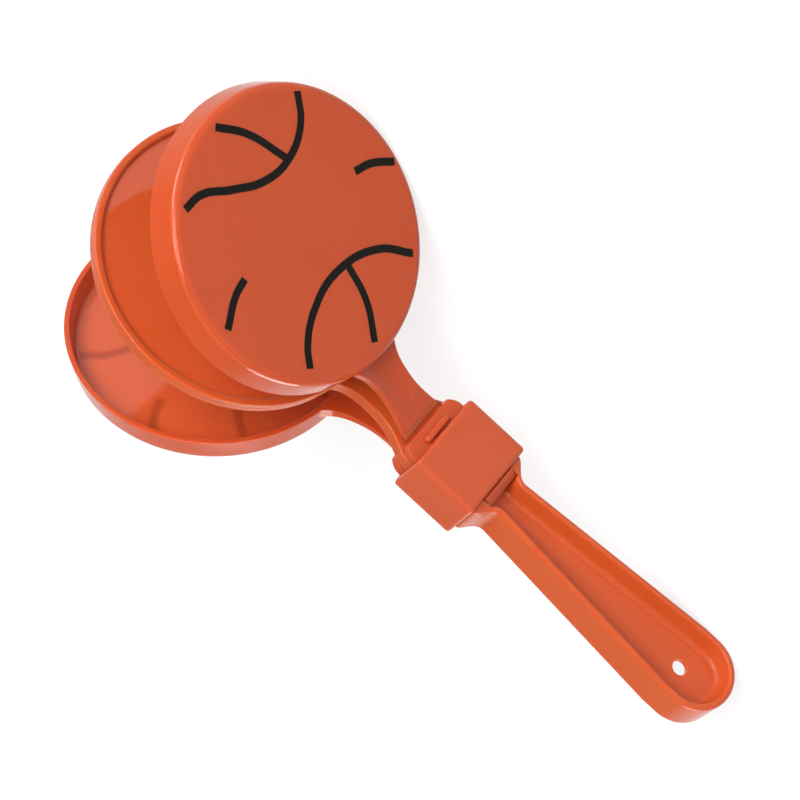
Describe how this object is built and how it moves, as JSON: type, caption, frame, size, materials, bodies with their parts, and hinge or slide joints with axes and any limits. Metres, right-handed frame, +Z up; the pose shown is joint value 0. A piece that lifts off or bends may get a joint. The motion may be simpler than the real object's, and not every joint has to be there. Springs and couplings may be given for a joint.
{
  "type": "hand clapper",
  "caption": "Plastic hand clapper: a flat paddle on a hollowed handle, with a cupped paddle on each side that swings on a crease held in a square collar.",
  "frame": {"origin": "middle of the footprint on the surface the clapper stands on, edge down, with its cups half open", "axes": "+X along the clapper towards the heads, with the handle falling away behind, -Y towards the front paddle, +Z up"},
  "size_m": [0.1904, 0.0898, 0.0747],
  "materials": {
    "handle_plastic": "gloss",
    "collar_plastic": "gloss",
    "paddle_plastic": "gloss"
  },
  "bodies": {
    "handle_body": {"handle": "handle_plastic", "collar": "collar_plastic", "front_hinge_tab": "paddle_plastic", "rear_hinge_tab": "paddle_plastic"},
    "front_paddle_body": {"front_paddle": "paddle_plastic"},
    "rear_paddle_body": {"rear_paddle": "paddle_plastic"}
  },
  "joints": [
    {"name": "front_crease", "type": "hinge", "parent": "handle_body", "child": "front_paddle_body", "pos_m": [0.00149, -0.00768, 0.02685], "axis": [0.1881, 0.011, -0.9821], "range_deg": [-19, 21], "stiffness_Nm_per_rad": 0.03},
    {"name": "rear_crease", "type": "hinge", "parent": "handle_body", "child": "rear_paddle_body", "pos_m": [0.00148, -0.00288, 0.0269], "axis": [-0.1881, -0.011, 0.9821], "range_deg": [-26.5, 13.5], "stiffness_Nm_per_rad": 0.03}
  ]
}
